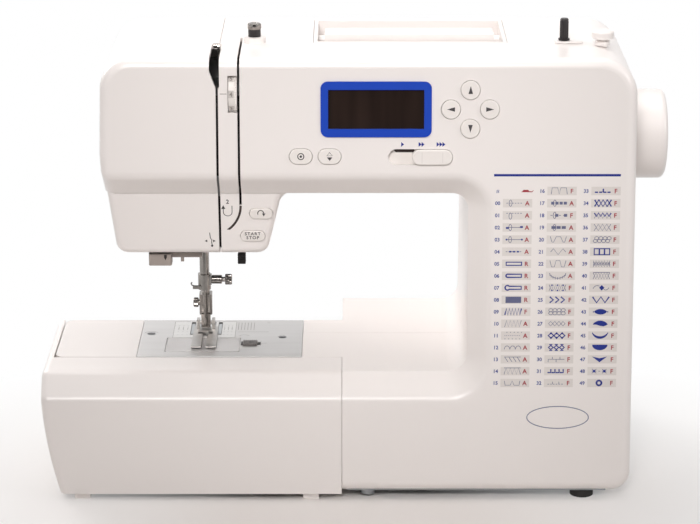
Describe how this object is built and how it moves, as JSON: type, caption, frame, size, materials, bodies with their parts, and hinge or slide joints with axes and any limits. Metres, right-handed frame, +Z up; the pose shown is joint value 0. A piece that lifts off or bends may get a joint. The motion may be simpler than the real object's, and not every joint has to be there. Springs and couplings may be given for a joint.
{
  "type": "sewing machine",
  "caption": "Electronic free-arm sewing machine with a display, push keys, stitch chart, handwheel, presser foot, bobbin winder and a slide-off extension table.",
  "frame": {"origin": "on the surface the machine stands on, under the middle of its length and depth", "axes": "+X along the arm towards the handwheel, +Y to the back, +Z up"},
  "size_m": [0.398, 0.1695, 0.2975],
  "materials": {
    "white_abs": "glossy",
    "blue_plastic": "glossy",
    "dark_window": "glossy",
    "circuit_board": "matt",
    "black_rubber": "matt",
    "black_plastic": "satin",
    "grey_plastic": "satin",
    "cast_aluminium": "as cast",
    "steel": "satin",
    "chrome": "polished",
    "zinc_plate": "satin",
    "bronze": "satin",
    "belt_rubber": "matt",
    "motor_black": "painted",
    "clear_plastic": "clear",
    "lamp_lens": "frosted"
  },
  "bodies": {
    "machine": {"front_cover": "white_abs", "rear_cover": "white_abs", "face_cover": "white_abs", "free_arm_cover": "white_abs", "base_plate": "zinc_plate", "rubber_feet": "black_rubber", "arm_frame": "cast_aluminium", "needle_plate": "steel", "bobbin_cover": "clear_plastic", "display_bezel": "blue_plastic", "display_window": "dark_window", "control_board": "circuit_board", "top_tray": "white_abs", "bobbin_stopper": "white_abs", "guide_stud": "black_plastic", "guide_cap": "chrome", "spool_pin": "white_abs", "shaft_bushes": "bronze", "timing_belt": "belt_rubber", "motor_belt": "belt_rubber", "motor": "motor_black", "bobbin_holder": "black_plastic", "lamp": "lamp_lens", "power_inlet": "black_plastic", "screws": "steel"},
    "upper_drive": {"handwheel": "white_abs", "main_shaft": "steel"},
    "lower_drive": {"lower_shaft": "steel"},
    "rotary_hook": {"hook": "steel"},
    "motor_drive": {"motor_pulley": "grey_plastic"},
    "needle_group": {"needle_bar": "chrome", "needle_clamp": "chrome", "needle": "chrome", "connecting_rod": "cast_aluminium"},
    "clamp_thumbscrew": {"clamp_screw": "black_plastic"},
    "take_up": {"take_up_lever": "chrome"},
    "presser_group": {"presser_bar": "chrome", "foot_holder": "chrome", "presser_foot": "chrome"},
    "holder_thumbscrew": {"holder_screw": "black_plastic"},
    "lifter": {"presser_lifter": "white_abs"},
    "threader": {"needle_threader": "grey_plastic"},
    "buttonhole": {"buttonhole_lever": "black_plastic"},
    "dial": {"tension_dial": "white_abs"},
    "slider": {"speed_slider": "white_abs"},
    "arrow_up": {"arrow_up_button": "white_abs"},
    "arrow_down": {"arrow_down_button": "white_abs"},
    "arrow_left": {"arrow_left_button": "white_abs"},
    "arrow_right": {"arrow_right_button": "white_abs"},
    "lock_key": {"lock_stitch_button": "white_abs"},
    "needle_key": {"needle_position_button": "white_abs"},
    "reverse_key": {"reverse_button": "white_abs"},
    "start_key": {"start_stop_button": "white_abs"},
    "carry_handle": {"handle": "white_abs"},
    "winder": {"winder_slide": "white_abs"},
    "winder_pin": {"winder_spindle": "black_plastic"},
    "release": {"cover_release": "black_plastic"},
    "feed": {"feed_dog": "steel"},
    "switch": {"power_switch": "black_plastic"},
    "table": {"extension_table": "white_abs"}
  },
  "joints": [
    {"name": "handwheel_turn", "type": "hinge", "parent": "machine", "child": "upper_drive", "pos_m": [0.19, 0, 0.219], "axis": [1, 0, 0], "continuous": true},
    {"name": "lower_shaft_turn", "type": "hinge", "parent": "machine", "child": "lower_drive", "pos_m": [0, 0, 0.045], "axis": [1, 0, 0], "continuous": true},
    {"name": "hook_turn", "type": "hinge", "parent": "machine", "child": "rotary_hook", "pos_m": [-0.0985, -0.016, 0.06], "axis": [0, 0, 1], "continuous": true},
    {"name": "motor_turn", "type": "hinge", "parent": "machine", "child": "motor_drive", "pos_m": [0.1615, 0.044, 0.075], "axis": [1, 0, 0], "continuous": true},
    {"name": "needle_bar_stroke", "type": "slide", "parent": "machine", "child": "needle_group", "axis": [0, 0, 1], "range_m": [-0.029, 0]},
    {"name": "clamp_screw_turn", "type": "hinge", "parent": "needle_group", "child": "clamp_thumbscrew", "pos_m": [-0.088, 0.0015, 0.1195], "axis": [1, 0, 0], "range_deg": [-180, 180]},
    {"name": "take_up_swing", "type": "hinge", "parent": "machine", "child": "take_up", "pos_m": [-0.085, 0.006, 0.246], "axis": [1, 0, 0], "range_deg": [0, 72]},
    {"name": "presser_lifter_turn", "type": "hinge", "parent": "machine", "child": "lifter", "pos_m": [-0.08, 0.052, 0.163], "axis": [0, 1, 0], "range_deg": [0, 70]},
    {"name": "presser_lift", "type": "slide", "parent": "machine", "child": "presser_group", "axis": [0, 0, 1], "range_m": [0, 0.006]},
    {"name": "holder_screw_turn", "type": "hinge", "parent": "presser_group", "child": "holder_thumbscrew", "pos_m": [-0.104, 0.014, 0.0993], "axis": [1, 0, 0], "range_deg": [-180, 180]},
    {"name": "threader_drop", "type": "slide", "parent": "machine", "child": "threader", "axis": [0, 0, 1], "range_m": [-0.03, 0]},
    {"name": "buttonhole_drop", "type": "slide", "parent": "machine", "child": "buttonhole", "axis": [0, 0, 1], "range_m": [-0.03, 0]},
    {"name": "tension_dial_turn", "type": "hinge", "parent": "machine", "child": "dial", "pos_m": [-0.0753, -0.04743, 0.25918], "axis": [1, 0, 0], "range_deg": [-130, 130]},
    {"name": "speed_slider_move", "type": "slide", "parent": "machine", "child": "slider", "axis": [1, 0, 0], "range_m": [-0.0144, 0]},
    {"name": "arrow_up_press", "type": "slide", "parent": "machine", "child": "arrow_up", "axis": [0, 0.9961, -0.0882], "range_m": [0, 0.001], "stiffness_N_per_m": 400},
    {"name": "arrow_down_press", "type": "slide", "parent": "machine", "child": "arrow_down", "axis": [0, 0.9961, -0.0882], "range_m": [0, 0.001], "stiffness_N_per_m": 400},
    {"name": "arrow_left_press", "type": "slide", "parent": "machine", "child": "arrow_left", "axis": [0, 0.9961, -0.0882], "range_m": [0, 0.001], "stiffness_N_per_m": 400},
    {"name": "arrow_right_press", "type": "slide", "parent": "machine", "child": "arrow_right", "axis": [0, 0.9961, -0.0882], "range_m": [0, 0.001], "stiffness_N_per_m": 400},
    {"name": "lock_stitch_press", "type": "slide", "parent": "machine", "child": "lock_key", "axis": [0, 0.9961, -0.0882], "range_m": [0, 0.001], "stiffness_N_per_m": 400},
    {"name": "needle_position_press", "type": "slide", "parent": "machine", "child": "needle_key", "axis": [0, 0.9961, -0.0882], "range_m": [0, 0.001], "stiffness_N_per_m": 400},
    {"name": "reverse_press", "type": "slide", "parent": "machine", "child": "reverse_key", "axis": [0, 0.9866, 0.1633], "range_m": [0, 0.001], "stiffness_N_per_m": 400},
    {"name": "start_stop_press", "type": "slide", "parent": "machine", "child": "start_key", "axis": [0, 0.9866, 0.1633], "range_m": [0, 0.001], "stiffness_N_per_m": 400},
    {"name": "handle_lift", "type": "hinge", "parent": "machine", "child": "carry_handle", "pos_m": [0.0345, 0.028, 0.274], "axis": [1, 0, 0], "range_deg": [-90, 0]},
    {"name": "winder_shift", "type": "slide", "parent": "machine", "child": "winder", "axis": [1, 0, 0], "range_m": [0, 0.006]},
    {"name": "winder_spin", "type": "hinge", "parent": "winder", "child": "winder_pin", "pos_m": [0.1318, -0.014, 0.285], "axis": [0, 0, 1], "continuous": true},
    {"name": "cover_release_push", "type": "slide", "parent": "machine", "child": "release", "axis": [1, 0, 0], "range_m": [0, 0.003], "stiffness_N_per_m": 200},
    {"name": "feed_travel", "type": "slide", "parent": "machine", "child": "feed", "axis": [0, 1, 0], "range_m": [-0.002, 0.002]},
    {"name": "power_switch_rock", "type": "hinge", "parent": "machine", "child": "switch", "pos_m": [0.1725, 0.033, 0.066], "axis": [0, 1, 0], "range_deg": [0, 8]},
    {"name": "table_pull_off", "type": "slide", "parent": "machine", "child": "table", "axis": [1, 0, 0], "range_m": [-0.2, 0]}
  ],
  "couplings": [
    {"joint": "lower_shaft_turn", "follows": "handwheel_turn", "ratio": 1},
    {"joint": "hook_turn", "follows": "handwheel_turn", "ratio": 2},
    {"joint": "motor_turn", "follows": "handwheel_turn", "ratio": 3},
    {"joint": "take_up_swing", "follows": "needle_bar_stroke", "rad_per_m": -43.332},
    {"joint": "presser_lifter_turn", "follows": "presser_lift", "rad_per_m": 203.62}
  ]
}
